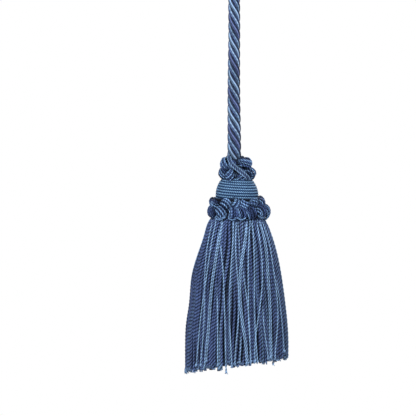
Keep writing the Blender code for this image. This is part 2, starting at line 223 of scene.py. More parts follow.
# The light yarns that lie over the navy ones in front. Columns: how far to the right each lies at
# the heights below, where it comes out from under its neighbours, and how many lie side by side.
LIGHT_HEIGHTS = (-168.0, -173.0, -190.0, -205.0, -220.0, -235.0, -246.0)
LIGHT_YARNS = [
    ((-11.5, -12.7, -15.1, -15.6, -15.9, -17.0, -18.2), -164.0, 1),
    ((-9.6, -10.8, -13.7, -15.9, -17.9, -19.2, -20.2), -164.0, 1),
    ((-6.2, -7.2, -10.3, -12.2, -13.3, -14.6, -15.4), -164.0, 2),
    ((-5.0, -6.4, -6.0, -5.3, -4.8, -4.5, -4.2), -176.0, 1),
    ((-7.0, -8.2, -9.3, -8.9, -8.7, -8.7, -8.5), -203.0, 1),
    ((-0.4, -0.5, -1.6, -2.4, -2.4, -1.6, -1.1), -164.0, 1),
    ((1.1, 0.8, 1.3, 2.4, 2.0, 0.6, 0.2), -164.0, 1),
    ((6.6, 6.2, 3.6, 3.0, 4.5, 6.5, 7.0), -164.0, 2),
    ((8.3, 8.0, 7.4, 7.5, 7.7, 8.6, 8.9), -164.0, 1),
    ((4.2, 4.4, 4.5, 6.4, 7.9, 8.5, 9.4), -193.0, 1),
    ((9.6, 10.0, 10.6, 10.6, 10.9, 11.9, 12.9), -164.0, 1),
    ((12.1, 12.9, 14.8, 14.3, 12.2, 10.8, 11.7), -164.0, 1),
    ((13.6, 15.2, 17.5, 18.5, 19.1, 19.4, 19.7), -164.0, 2),
    ((15.0, 16.9, 20.4, 22.4, 23.0, 21.7, 21.2), -164.0, 1),
    ((15.8, 17.6, 20.8, 23.4, 25.2, 26.3, 26.8), -197.0, 1),
    ((11.9, 12.6, 14.0, 14.8, 15.6, 17.5, 18.6), -213.0, 1),
    ((2.0, 2.4, 3.2, 3.6, 3.7, 3.2, 2.4), -226.0, 1),
]


# ---------------------------------------------------------------- yarn geometry


def reseed(seed):
    """Start a run of random numbers that doesn't hang on what was drawn before."""
    random.bit_generator.state = np.random.default_rng(seed).bit_generator.state


def unit(vectors):
    return vectors / np.linalg.norm(vectors, axis=-1, keepdims=True)


def natural_spline(knots, values, at):
    """Read a natural cubic spline through values at their knots."""
    knots, values, at = np.array(knots), np.array(values), np.array(at)
    gaps = np.diff(knots)
    count = len(knots)
    system = np.eye(count)
    target = np.zeros(values.shape)
    for i in range(1, count - 1):
        system[i, i - 1:i + 2] = gaps[i - 1], 2 * (gaps[i - 1] + gaps[i]), gaps[i]
        rise = (values[i + 1] - values[i]) / gaps[i] - (values[i] - values[i - 1]) / gaps[i - 1]
        target[i] = 6 * rise
    bend = np.linalg.solve(system, target)
    cell = np.clip(np.searchsorted(knots, at) - 1, 0, count - 2)
    span = gaps[cell]
    a = (knots[cell + 1] - at) / span
    b = (at - knots[cell]) / span
    if values.ndim > 1:
        a, b, span = a[:, None], b[:, None], span[:, None]
    lift = ((a ** 3 - a) * bend[cell] + (b ** 3 - b) * bend[cell + 1]) * span ** 2 / 6
    return a * values[cell] + b * values[cell + 1] + lift


def run_along(path):
    """Distance from the start of a path to each of its points."""
    return np.concatenate([[0.0], np.cumsum(np.linalg.norm(np.diff(path, axis=0), axis=1))])


def evenly(path, spacing):
    """The same path, with its points evenly spaced."""
    run = run_along(path)
    even = np.linspace(0.0, run[-1], max(3, round(run[-1] / spacing) + 1))
    return np.stack([np.interp(even, run, path[:, axis]) for axis in range(3)], axis=1)


def smooth_curve(points, spacing):
    points = np.array(points)
    knots = run_along(points)
    fine = natural_spline(knots, points, np.linspace(0.0, knots[-1], 40 * len(points)))
    return evenly(fine, spacing)


def carried_frame(path, side):
    """Two unit vectors square to a path, the first carried along it without turning."""
    along = unit(np.gradient(path, axis=0))
    sides = []
    for direction in along:
        side = unit(side - direction * side.dot(direction))
        sides.append(side)
    sides = np.array(sides)
    return sides, np.cross(along, sides)


def frame_towards(path, towards):
    """Two unit vectors square to a path, the first as near as can be to a given direction."""
    along = unit(np.gradient(path, axis=0))
    towards = np.broadcast_to(towards, along.shape)
    sides = unit(towards - along * np.sum(towards * along, axis=1, keepdims=True))
    return sides, np.cross(along, sides)


class YarnMesh:
    """Gathers tubes of yarn into one mesh.

    Each corner of a face carries its lay: plies counted round the yarn, millimetres along it, and a
    number of the yarn's own. Each point carries the tint of its fibre, with the painted shade and
    painted light that some yarns get."""

    def __init__(self):
        self.points = []
        self.tints = []
        self.corners = []
        self.sizes = []
        self.lays = []
        self.count = 0

    def add(self, rings, tint, ply_count, run, plies_passed, own):
        """Add a closed tube through rings of points, shaped (sections, points round, 3)."""
        sections, around = rings.shape[:2]
        numbers = self.count + np.arange(sections * around).reshape(sections, around)
        turned = np.roll(numbers, -1, axis=1)
        quads = np.stack([numbers[:-1], turned[:-1], turned[1:], numbers[1:]], axis=-1)
        start = np.arange(around) * ply_count / around
        step = ply_count / around
        lay = np.zeros((sections - 1, around, 4, 3))
        lay[..., 0] = start[None, :, None] + np.array([0, step, step, 0])
        lay[..., :2, 0] -= plies_passed[:-1, None, None]
        lay[..., 2:, 0] -= plies_passed[1:, None, None]
        lay[..., :2, 1] = run[:-1, None, None]
        lay[..., 2:, 1] = run[1:, None, None]
        lay[..., 2] = own
        caps = np.concatenate([numbers[0, ::-1], numbers[-1]])
        cap_lay = np.zeros((2 * around, 3))
        cap_lay[:, 0] = CUT_PLY
        cap_lay[:around, 1] = run[0]
        cap_lay[around:, 1] = run[-1]
        cap_lay[:, 2] = own
        self.points.append(rings.reshape(-1, 3))
        self.tints.append(np.broadcast_to(tint, rings.shape).reshape(-1, 3))
        self.corners += [quads.reshape(-1), caps]
        self.sizes += [np.full(quads.size // 4, 4), np.full(2, around)]
        self.lays += [lay.reshape(-1, 3), cap_lay]
        self.count += sections * around

    def make(self, name, material):
        """Turn what has been gathered into an object."""
        points = np.concatenate(self.points) * MM
        corners = np.concatenate(self.corners)
        sizes = np.concatenate(self.sizes)
        mesh = bpy.data.meshes.new(name)
        mesh.vertices.add(len(points))
        mesh.vertices.foreach_set("co", points.ravel())
        mesh.loops.add(len(corners))
        mesh.loops.foreach_set("vertex_index", corners.astype(np.int32))
        mesh.polygons.add(len(sizes))
        mesh.polygons.foreach_set("loop_start", (np.cumsum(sizes) - sizes).astype(np.int32))
        tints = np.concatenate(self.tints)
        tints = np.concatenate([tints, np.ones((len(tints), 1))], axis=1)
        mesh.attributes.new("tint", "FLOAT_COLOR", "POINT").data.foreach_set("color", tints.ravel())
        lays = np.concatenate(self.lays)
        mesh.attributes.new("lay", "FLOAT_VECTOR", "CORNER").data.foreach_set("vector", lays.ravel())
        mesh.update(calc_edges=True)
        mesh.shade_smooth()
        mesh.materials.append(material)
        thing = bpy.data.objects.new(name, mesh)
        bpy.context.scene.collection.objects.link(thing)
        return thing


def bulge(plies, around, passed):
    """How far plies stand out, from 0 to 1, round a yarn at each place along it."""
    return np.abs(np.cos(0.5 * plies * around[None, :] - math.pi * passed[:, None]))


def rings_round(path, frame_pair, radii, around):
    """Rings of points round a path, at the angles around."""
    first, second = frame_pair
    return path[:, None, :] + radii[..., None] * (
        np.cos(around)[None, :, None] * first[:, None, :]
        + np.sin(around)[None, :, None] * second[:, None, :])


def add_yarn(mesh, path, frame_pair, radius, tint, turn=YARN_TURN, points=8, waist=YARN_WAIST,
             phase=0.0, shaded=None):
    """Add a plied yarn that follows a path. Its plies wind round it once in each turn.

    Shade is painted into its tint where it lies against its neighbours. With that painted shade
    beside, its first frame vector faces outward and it is bright there; with it under, that vector
    points at a neighbour."""
    run = run_along(path)
    around = TAU * np.arange(points) / points
    passed = PLIES * (run / turn + phase)
    radii = np.reshape(radius, (-1, 1)) * (waist + (1 - waist) * bulge(PLIES, around, passed))
    rings = rings_round(path, frame_pair, radii, around)
    # painted shade: the tint darkens on the yarn's sides, where it lies against its neighbours
    if shaded == "beside":
        open_side = np.clip(np.cos(around), 0.0, 1.0) ** 0.7
        tint = tint * (SHADED + (1 - SHADED) * open_side)[:, None]
    elif shaded == "under":
        open_side = np.abs(np.sin(around)) ** 0.7
        tint = tint * (LOOP_SHADED + (1 - LOOP_SHADED) * open_side)[:, None]
    mesh.add(rings, tint, PLIES, run, passed, random.random())


def revolve(mesh, profile, centre_x, steps, tint):
    """Add a body turned from a closed profile of (radius, height) rows about a standing axis."""
    angles = np.linspace(0.0, TAU, steps + 1)
    profile = np.array(profile)
    rings = np.stack([
        centre_x + np.sin(angles)[:, None] * profile[None, :, 0],
        -np.cos(angles)[:, None] * profile[None, :, 0],
        np.broadcast_to(profile[None, :, 1], (steps + 1, len(profile))),
    ], axis=-1)
    run = angles * CORE_RUN
    mesh.add(rings, tint, CORE_PLIES, run, np.zeros(steps + 1), random.random())


# ---------------------------------------------------------------- finishes


class Nodes:
    """Short calls for a material's node tree."""

    def __init__(self, material):
        material.use_nodes = True
        self.tree = material.node_tree
        self.shader = self.tree.nodes["Principled BSDF"]

    def put(self, kind, **settings):
        node = self.tree.nodes.new(kind)
        for name, value in settings.items():
            setattr(node, name, value)
        return node

    def feed(self, socket, value):
        if isinstance(value, bpy.types.NodeSocket):
            self.tree.links.new(value, socket)
        else:
            socket.default_value = value

    def math(self, operation, first, second=0.0):
        node = self.put("ShaderNodeMath", operation=operation)
        self.feed(node.inputs[0], first)
        self.feed(node.inputs[1], second)
        return node.outputs[0]

    def spread(self, value, low, high, to_low, to_high):
        """Map a value from one range to another, held within the second."""
        node = self.put("ShaderNodeMapRange", clamp=True)
        for socket, number in zip(node.inputs, (value, low, high, to_low, to_high)):
            self.feed(socket, number)
        return node.outputs[0]

    def scaled(self, colour, factor):
        node = self.put("ShaderNodeVectorMath", operation="SCALE")
        self.feed(node.inputs[0], colour)
        self.feed(node.inputs["Scale"], factor)
        return node.outputs[0]

    def joined(self, *values):
        """A vector of two or three values."""
        node = self.put("ShaderNodeCombineXYZ")
        for socket, value in zip(node.inputs, values):
            self.feed(socket, value)
        return node.outputs[0]

    def noise(self, place, scale, detail=2.0):
        node = self.put("ShaderNodeTexNoise", noise_dimensions="3D")
        self.feed(node.inputs["Vector"], place)
        self.feed(node.inputs["Scale"], scale)
        self.feed(node.inputs["Detail"], detail)
        return node.outputs[0]


def fibre_noise(nodes, ply, run, own, fibres):
    """Fine noise drawn out along each ply. own sets one yarn's apart from the next one's."""
    place = nodes.joined(
        nodes.math("MULTIPLY", ply, fibres),
        nodes.math("MULTIPLY", run, FIBRE_RUN),
        nodes.math("MULTIPLY", own, 91.0))
    return nodes.noise(place, FIBRE_SCALE, FIBRE_DETAIL)


def drift_noise(nodes, run, own):
    """Slow noise along a yarn."""
    place = nodes.joined(nodes.math("MULTIPLY", run, DRIFT_RUN), nodes.math("MULTIPLY", own, 57.0))
    return nodes.noise(place, 1.0)


def yarn_finish(name, painted_groove_shade, flecks, fibres=6.5, roughness=0.65):
    """Spun yarn: plies parted by grooves with painted shade in them, with fine fibres that run along
    each ply.

    painted_groove_shade is how bright the painted shade leaves the grooves, flecks how much single
    fibres differ, and fibres how many of them a ply shows."""
    material = bpy.data.materials.new(name)
    nodes = Nodes(material)
    tint = nodes.put("ShaderNodeAttribute", attribute_name="tint").outputs["Color"]
    lay = nodes.put("ShaderNodeAttribute", attribute_name="lay").outputs["Vector"]
    parts = nodes.put("ShaderNodeSeparateXYZ")
    nodes.feed(parts.inputs[0], lay)
    ply, run, own = parts.outputs
    # painted shade: darker towards each groove between plies
    ridge = nodes.math("ABSOLUTE", nodes.math("COSINE", nodes.math("MULTIPLY", ply, math.pi)))
    shade = nodes.spread(ridge, *RIDGE_RANGE, painted_groove_shade, 1.0)
    fibre = fibre_noise(nodes, ply, run, own, fibres)
    fleck = nodes.spread(fibre, *NOISE_RANGE, 1.0 - flecks, 1.0 + flecks)
    waver = nodes.spread(drift_noise(nodes, run, own), *NOISE_RANGE, 1.0 - DRIFT, 1.0 + DRIFT)
    strength = nodes.math("MULTIPLY", nodes.math("MULTIPLY", shade, fleck), waver)
    sockets = nodes.shader.inputs
    nodes.feed(sockets["Base Color"], nodes.scaled(tint, strength))
    nodes.feed(sockets["Roughness"],
               nodes.spread(fibre, *NOISE_RANGE, roughness + 0.1, roughness - 0.1))
    sockets["Specular IOR Level"].default_value = YARN_GLOSS
    relief = nodes.put("ShaderNodeBump")
    relief.inputs["Strength"].default_value = FIBRE_RELIEF
    relief.inputs["Distance"].default_value = FIBRE_DEPTH * MM
    nodes.feed(relief.inputs["Height"], fibre)
    nodes.feed(sockets["Normal"], relief.outputs[0])
    return material


def settle(piece, node):
    """The piece rides on the tassel's one body, and the CAD node in its place is hidden."""
    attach(piece, "root")
    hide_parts(node)
    return piece


# ---------------------------------------------------------------- view, floor and light


def aim(thing, at):
    place = thing.location
    direction = type(place)(at) - place
    thing.rotation_euler = direction.to_track_quat("-Z", "Y").to_euler()


def make_view():
    lens = bpy.data.cameras.new("view")
    lens.sensor_width = SENSOR_WIDTH
    lens.lens = SENSOR_WIDTH * VIEW_DISTANCE / VIEW_WIDTH
    lens.clip_start = 0.1
    lens.clip_end = 20.0
    camera = bpy.data.objects.new("view", lens)
    centre = np.array(VIEW_CENTRE) * MM
    back = np.array((0.0, -math.cos(VIEW_ELEVATION), math.sin(VIEW_ELEVATION)))
    camera.location = centre + back * VIEW_DISTANCE * MM
    aim(camera, centre)
    bpy.context.scene.collection.objects.link(camera)
    bpy.context.scene.camera = camera
    bpy.context.scene.view_settings.view_transform = "Standard"


def make_lights():
    """A white sky and three soft lamps."""
    world = bpy.data.worlds.new("studio")
    world.use_nodes = True
    world.node_tree.nodes["Background"].inputs["Color"].default_value = (1.0, 1.0, 1.0, 1.0)
    world.node_tree.nodes["Background"].inputs["Strength"].default_value = 1.0
    bpy.context.scene.world = world
    for name, place, width, power in LIGHTS:
        lamp = bpy.data.lights.new(name, "AREA")
        lamp.size = width
        lamp.energy = power
        light = bpy.data.objects.new(name, lamp)
        light.location = place
        aim(light, LIGHTS_FACE)
        bpy.context.scene.collection.objects.link(light)


def make_floor():
    paper = bpy.data.materials.new("paper")
    nodes = Nodes(paper)
    nodes.shader.inputs["Base Color"].default_value = FLOOR_COLOUR
    nodes.shader.inputs["Roughness"].default_value = 0.9
    bpy.ops.mesh.primitive_circle_add(vertices=96, radius=FLOOR_RADIUS * MM, fill_type="NGON",
                                      location=(0.0, 0.0, FLOOR_LEVEL * MM))
    floor = bpy.context.object
    floor.name = "floor"
    floor.data.materials.append(paper)


# ---------------------------------------------------------------- the rope and its whipping


def add_strand(mesh, route, axes, number, colours, beads):
    """Add one of the rope's strands, whose yarns take three colours in turn.

    The colours are those of its light yarns and of the yarns above and below each of them."""
    run = run_along(route)
    fullness = np.interp(route[:, 2], ROPE_OPENS, ROPE_FULLNESS)[:, None]
    turn = ROPE_PHASE + TAU * number / ROPE_STRANDS - TAU * run / ROPE_LAY
    outward = np.cos(turn)[:, None] * axes[0] + np.sin(turn)[:, None] * axes[1]
    strand = route + STRAND_PLACE * fullness * outward
    points = 4 * STRAND_YARNS
    around = TAU * np.arange(points) / points
    passed = -STRAND_PASSES * (turn / TAU + 0.25)
    radii = STRAND_RADIUS * fullness * (0.85 + 0.15 * bulge(STRAND_YARNS, around, passed))
    rings = rings_round(strand, frame_towards(strand, outward), radii, around)
    yarn = np.round(around[None, :] / TAU * STRAND_YARNS - passed[:, None]).astype(int)
    yarn = yarn % STRAND_YARNS
    dots = 1 - 2 * ((np.arange(len(run))[:, None] + yarn) % 2)
    depth = np.array((beads, STRAND_DOTS, 0.5 * STRAND_DOTS))[yarn % 3]
    tints = np.array(colours)[yarn % 3] * (1 + depth * dots)[..., None]
    mesh.add(rings, tints, STRAND_YARNS, run, passed, random.random())


def make_rope():
    """Four silky strands that wind round the route like the middle stroke of an S."""
    route = smooth_curve(ROPE_ROUTE, ROPE_LAY / STRAND_SECTIONS)
    axes = carried_frame(route, np.array((1.0, 0.0, 0.0)))
    mesh = YarnMesh()
    for number, (light, beads, below, above) in enumerate(STRAND_COLOURS):
        add_strand(mesh, route, axes, number, (light, above, below), beads)
    finish = yarn_finish("silky_rope", painted_groove_shade=0.35, flecks=0.25, fibres=2.25, roughness=0.5)
    return settle(mesh.make("rope_strands", finish), "rope"), route


def whipping_path():
    """Round the rope and its tail, turn under turn, from the front of the rope."""
    radius = WHIP_HOLE + 0.5 * WHIP_YARN
    bend = math.pi * radius
    lap = 2 * (bend + TAIL_X)
    run = np.linspace(0.0, WHIP_TURNS * lap, round(WHIP_TURNS * lap / WHIP_SPACING))
    place = run % lap
    x = np.empty(len(run))
    y = np.empty(len(run))
    front = place < TAIL_X
    right = (place >= TAIL_X) & (place < TAIL_X + bend)
    rear = (place >= TAIL_X + bend) & (place < 2 * TAIL_X + bend)
    left = place >= 2 * TAIL_X + bend
    x[front], y[front] = place[front], -radius
    angle = (place[right] - TAIL_X) / radius
    x[right], y[right] = TAIL_X + radius * np.sin(angle), -radius * np.cos(angle)
    x[rear], y[rear] = 2 * TAIL_X + bend - place[rear], radius
    angle = (place[left] - 2 * TAIL_X - bend) / radius
    x[left], y[left] = -radius * np.sin(angle), radius * np.cos(angle)
    z = WHIP_TOP - 0.5 * WHIP_YARN - (WHIP_TURNS - 1) * WHIP_YARN * run / run[-1]
    return np.stack([x, y, z], axis=1)


def make_whipping():
    """Yarn bound round the rope and its tail."""
    path = whipping_path()
    mesh = YarnMesh()
    add_yarn(mesh, path, frame_towards(path, UP), 0.53 * WHIP_YARN, MID * 0.8, turn=WHIP_TWIST,
             waist=0.85)
    finish = yarn_finish("binding_yarn", painted_groove_shade=0.6, flecks=0.15)
    return settle(mesh.make("whipping_yarn", finish), "whipping")


# ---------------------------------------------------------------- the head


def dome_profile():
    """Rows of (radius, height) down the head's outside."""
    top = math.asin(HEAD_FLAT / HEAD_RADIUS)
    swing = np.linspace(top, 0.5 * math.pi, 60)
    dome = np.stack([HEAD_RADIUS * np.sin(swing), DOME_FOOT + DOME_HEIGHT * np.cos(swing)], axis=1)
    return np.concatenate([dome, [(HEAD_RADIUS, HEAD_FOOT)]])


def wind_head(mesh, lead, radius, sunk, tint):
    """Wind a yarn down the head, its first turn a share of the pitch below the top."""
    profile = dome_profile()
    run = run_along(profile)
    turns = run[-1] / RIB_PITCH - lead
    angle = np.linspace(0.0, TAU * turns, round(turns * TAU * RIB_ABOUT / (RIB_TURN / 6)))
    down = (angle / TAU + lead) * RIB_PITCH
    fall = unit(np.gradient(profile, axis=0))
    inside = profile + (radius + sunk) * np.stack([fall[:, 1], -fall[:, 0]], axis=1)
    reach = np.interp(down, run, inside[:, 0])
    path = np.stack([
        HEAD_X + reach * np.sin(angle),
        -reach * np.cos(angle),
        np.interp(down, run, inside[:, 1]),
    ], axis=1)
    path[:, 2] += RIB_TILT * (path[:, 0] - HEAD_X)
    path = evenly(path, RIB_TURN / 6)
    add_yarn(mesh, path, frame_towards(path, UP), radius, tint, turn=RIB_TURN, waist=0.78)


def make_head():
    """The mould, and the light and the dark yarn wound down it in level ribs."""
    mesh = YarnMesh()
    wind_head(mesh, 0.0, RIB_YARN, 0.0, HEAD_TINT)
    wind_head(mesh, 0.5, RIB_FILL, RIB_SUNK, HEAD_DARK)
    mould = [(r - MOULD_INSET, z - MOULD_DROP) for r, z in dome_profile()[::3]]
    mould = mould + [(HEAD_RADIUS - MOULD_INSET, HEAD_FOOT)]
    mould = [(MOULD_HOLE, mould[0][1])] + mould + [(MOULD_HOLE, mould[-1][1])]
    # the mould is painted near black, as shade where it shows between the yarns
    revolve(mesh, mould[::-1], HEAD_X, 96, DARK)
    finish = yarn_finish("head_winding", painted_groove_shade=0.2, flecks=0.2)
    settle(mesh.make("head_winding", finish), "head")


# ---------------------------------------------------------------- the collar and the ruff


def ring_axes(angle):
    """The outward and the sideways unit vectors at an angle round the tassel."""
    outward = np.array((math.sin(angle), -math.cos(angle), 0.0))
    sideways = np.array((math.cos(angle), math.sin(angle), 0.0))
    return outward, sideways


# One loop: where its ring's middle is, its angle and level, how far out it sits, how far it
# reaches out and up from there, its roll and how far it leans to the side.
Loop = namedtuple("Loop", "centre_x angle level place reach height roll turn_out")
# What the loops of one tier share. tallest is the size above which a loop gets no taller, stray
# how far (degrees) they lie from their charted angles, and lean how far they lean on average.
Tier = namedtuple("Tier", "centre_x level place reach height tallest yarns stray lean")


def loop_path(loop, offset, turned, swell, lifted):
    """The line of one of a loop's yarns, and the direction in which the next yarn lies."""
    swing = np.linspace(LOOP_SWING, -LOOP_SWING, 44)
    own = loop.angle + offset * math.cos(loop.roll) / (loop.place + loop.reach)
    outward, sideways = ring_axes(own)
    upward = math.cos(loop.roll) * UP - math.sin(loop.roll) * sideways
    sideways = math.cos(loop.roll) * sideways + math.sin(loop.roll) * UP
    opening = math.cos(turned) * outward + math.sin(turned) * sideways
    level = loop.level + offset * math.sin(loop.roll) + lifted
    line = (
        np.array((loop.centre_x, 0.0, level))
        + loop.place * outward
        + (loop.reach * swell * np.cos(swing))[:, None] * opening
        - (0.5 * np.sin(swing))[:, None] * sideways
        + (loop.height * swell * np.sin(swing))[:, None] * upward)
    return line, sideways


def add_loop(mesh, loop, yarns, lights, nested=1.0):
    """Add a loop of cord: yarns side by side that come out at its top, over, and in at its foot.

    Its roll lays it on its side, and smaller loops nested in it close its eye."""
    outermost = nested == 1.0
    sections, points = (6, 8) if outermost else (4, 6)
    shift = random.integers(2)
    if outermost:
        add_loop(mesh, loop, yarns - 1, 1, LOOP_NESTED[0])
        add_loop(mesh, loop, yarns - 2, 0, LOOP_NESTED[1])
    for number in range(yarns):
        aside = 2.0 * number / (yarns - 1) - 1.0
        offset = LOOP_SPACING * (number - 0.5 * (yarns - 1)) + random.normal(0.0, LOOP_STRAY)
        turned = loop.turn_out + random.normal(0.0, LOOP_STRAY)
        swell = nested * (1.0 - LOOP_TAPER * aside ** 2) * random.uniform(0.93, 1.05)
        line, sideways = loop_path(loop, offset, turned, swell, random.normal(0.0, 0.15))
        path = evenly(line, LOOP_TURN / sections)
        tint = loop_tint((number + shift) % 2 == 0 and number < 2 * lights)
        # painted shade: the yarns darken towards where the loop goes in between its neighbours
        crest = np.cos(0.5 * math.pi * np.linspace(-1.0, 1.0, len(path))) ** 2
        tint = tint * (LOOP_FOOT_PAINTED_SHADE + (1.0 - LOOP_FOOT_PAINTED_SHADE) * crest)[:, None, None]
        add_yarn(mesh, path, frame_towards(path, sideways), LOOP_YARN, tint, points=points,
                 phase=random.random(), turn=LOOP_TURN, shaded="under")


def add_tier(mesh, tier, chart):
    """Add a ring of loops, one for each row of its chart."""
    for angle, size, lights, roll, rise in chart:
        own = math.radians(angle + random.normal(0.0, tier.stray))
        turn_out = math.radians(random.normal(tier.lean, LOOP_LEAN))
        height = tier.height * min(size, tier.tallest)
        loop = Loop(tier.centre_x, own, rise + tier.level, tier.place, tier.reach * size, height,
                    math.radians(roll), turn_out)
        add_loop(mesh, loop, tier.yarns, lights)


# Columns: angle (degrees), size, how many of its yarns are light, roll (degrees) and rise.
RUFF_LOWER = [
    (-75, 0.95, 2, 20, 0.0), (-40, 1.05, 3, 40, 0.0), (-11, 0.9, 1, -12, 0.0), (8, 0.9, 1, 6, 0.0),
    (31, 1.0, 1, 18, 0.0), (59, 1.2, 1, 24, 0.0), (86, 1.4, 4, 14, -0.6), (110, 1.25, 2, -20, 0.0),
    (134, 1.0, 2, 12, 0.0), (158, 0.95, 3, -30, 0.0), (182, 1.0, 2, 20, 0.0), (206, 0.95, 2, -12, 0.0),
    (232, 1.0, 3, 28, 0.0), (259, 0.9, 2, -18, 0.0),
]
RUFF_UPPER = [
    (-63, 1.0, 3, 50, 0.0), (-31, 1.0, 3, 48, 0.0), (-4, 1.05, 3, -52, 0.0), (14, 1.05, 3, 52, 0.0),
    (39, 1.0, 3, 55, 0.0), (66, 1.15, 2, 18, 0.0), (92, 1.25, 3, -25, 0.0), (116, 1.1, 2, 30, 0.0),
    (140, 1.0, 3, -45, 0.0), (164, 0.95, 2, 15, 0.0), (188, 1.0, 2, -20, 0.0), (213, 1.0, 3, 50, 0.0),
    (239, 0.95, 2, -10, 0.0), (266, 0.95, 2, 35, 0.0),
]
COLLAR_LOWER = [
    (-64, 1.1, 3, 40, 0.0), (-27, 0.95, 3, -62, 0.0), (14, 1.0, 2, -30, 0.0), (68, 1.5, 3, 25, 0.4),
    (112, 1.0, 2, -40, 0.0), (158, 1.0, 3, 15, 0.0), (205, 0.95, 2, -55, 0.0), (250, 1.0, 2, 30, 0.0),
]
COLLAR_UPPER = [
    (-66, 1.3, 3, 25, -0.3), (-24, 0.75, 2, 70, -1.2), (55, 1.5, 3, 66, 0.3), (76, 1.1, 3, 10, 0.3),
    (112, 0.9, 2, 35, -0.1), (150, 1.0, 2, -20, 0.4), (187, 1.0, 3, 25, 0.0), (226, 1.0, 2, -60, 0.0),
    (262, 0.95, 2, 20, 0.0),
]
# The tiers from the foot up, each with its chart.
RUFF_TIERS = [
    (Tier(HEAD_X, -162.3, 13.3, 2.9, 3.5, 1.3, 7, 1.5, 32), RUFF_LOWER),
    (Tier(HEAD_X, -157.9, 12.6, 2.4, 2.6, 1.5, 6, 1.5, 32), RUFF_UPPER),
]
COLLAR_TIERS = [
    (Tier(COLLAR_X, -142.2, 7.0, 2.6, 2.9, 1.2, 6, 2.5, 28), COLLAR_LOWER),
    (Tier(COLLAR_X, -136.9, 5.7, 2.4, 2.7, 1.5, 6, 2.5, 28), COLLAR_UPPER),
]
# The light scallops under the ruff's lowest loops. Columns: angle (degrees), half width and depth.
SCALLOPS = [
    (-40, 3.0, 2.3), (-35, 2.7, 1.7), (-10, 2.3, 2.1), (9, 2.4, 2.0), (61, 2.6, 1.8),
    (160, 2.5, 1.8), (208, 2.4, 1.9),
]
# The cord that crosses the collar's front, down from the rope.
CROSSING = [
    (-2.6, -2.0, -133.0), (-2.3, -4.9, -134.8), (-0.9, -7.1, -137.0), (1.6, -8.4, -139.2),
    (4.3, -8.8, -141.3), (6.6, -8.2, -143.3), (7.3, -6.4, -144.4), (6.6, -4.4, -144.6),
]
# Its yarns. Columns: how far aside and how far raised each lies, and its colour.
CROSSING_YARNS = [(-0.8, 0.0, 0.68 * LIGHT), (0.0, 0.25, NAVY), (0.8, 0.0, 0.8 * LIGHT)]


def loop_tint(light):
    if light:
        return LOOP_CAST * (LIGHT * random.uniform(0.72, 1.1))
    return LOOP_CAST * (NAVY * random.uniform(0.4, 1.25))


def add_scallop(mesh, angle, half_width, depth):
    """Add a light yarn that hangs in a shallow bow under the ruff, its ends tucked in."""
    share = np.linspace(-1.0, 1.0, 24)
    around = angle + half_width * share / SCALLOP_PLACE
    down = depth * np.sqrt(np.clip(1.0 - share ** 2, 0.0, 1.0))
    reach = SCALLOP_PLACE - 1.4 * (down / depth) ** 3 - 2.5 * share ** 8
    path = np.stack([
        HEAD_X + reach * np.sin(around),
        -reach * np.cos(around),
        SCALLOP_LEVEL - down,
    ], axis=1)
    path = evenly(path, LOOP_TURN / 6)
    outward, _ = ring_axes(angle)
    add_yarn(mesh, path, frame_towards(path, outward), LOOP_YARN, 0.8 * loop_tint(True),
             turn=LOOP_TURN, phase=random.random())


def add_crossing(mesh):
    """Add the cord that crosses the collar's front: light yarns either side of a dark one."""
    middle = smooth_curve(CROSSING, LOOP_TURN / 6)
    first, second = frame_towards(middle, FRONT)
    for offset, raised, tint in CROSSING_YARNS:
        path = middle + offset * second + raised * first
        add_yarn(mesh, path, frame_towards(path, FRONT), LOOP_YARN, tint, turn=LOOP_TURN,
                 phase=random.random())


def make_ruff():
    """Cord loops in two tiers round the head's foot, and the scallops under them."""
    reseed(RUFF_SEED)
    mesh = YarnMesh()
    # the core is painted near black, as the shade in the loops' eyes and gaps
    revolve(mesh, RUFF_CORE[::-1], HEAD_X, 96, DARK)
    for tier, chart in RUFF_TIERS:
        add_tier(mesh, tier, chart)
    for angle, half_width, depth in SCALLOPS:
        add_scallop(mesh, math.radians(angle), half_width, depth)
    finish = yarn_finish("ruff_cord", painted_groove_shade=0.12, flecks=0.25)
    settle(mesh.make("ruff_loops", finish), "ruff")


def make_collar():
    """Cord loops in two tiers round the rope's foot, and the cord that crosses them."""
    reseed(COLLAR_SEED)
    mesh = YarnMesh()
    # the core is painted near black, as the shade in the loops' eyes and gaps
    revolve(mesh, COLLAR_CORE[::-1], COLLAR_X, 72, DARK)
    for tier, chart in COLLAR_TIERS:
        add_tier(mesh, tier, chart)
    add_crossing(mesh)
    finish = yarn_finish("collar_cord", painted_groove_shade=0.12, flecks=0.25)
    settle(mesh.make("collar_loops", finish), "collar")


# ---------------------------------------------------------------- the skirt


def outline_at(heights):
    """The outline's radius and the place of its centre at some heights."""
    rows = np.array(SKIRT_OUTLINE[::-1])
    found = natural_spline(rows[:, 0], rows[:, 1:], heights)
    return found[:, 0], found[:, 1]


def end_height(angle, share):
    """Where the yarns at an angle and a share of the radius are cut off."""
    x = SKIRT_REACH * share * math.sin(angle)
    y = -SKIRT_REACH * share * math.cos(angle)
    return SKIRT_END + END_SLOPE * x - END_TILT * y


def sway_at(angle, heights):
    """How far neighbouring yarns wander sideways together, at some heights."""
    fade = np.clip((SKIRT_TOP - heights) / 30.0, 0.0, 1.0)
    return fade * (
        0.75 * np.sin(5 * angle + heights / 17.0 + 1.1)
        + 0.55 * np.sin(9 * angle - heights / 12.5 + 2.0)
        + 0.35 * np.sin(16 * angle + heights / 9.0))


def fold_at(angle, heights):
    """How far the surface dips between soft folds."""
    return (
        0.45 * (0.5 + 0.5 * np.sin(13 * angle + 0.6 * np.sin(heights / 23.0)))
        + 0.35 * (0.5 + 0.5 * np.sin(29 * angle + heights / 31.0)))


def yarn_heights(end, step=1.0):
    """Heights down a yarn from the skirt's top to its cut end."""
    return np.append(np.arange(SKIRT_TOP, end - 0.01, -step), end)


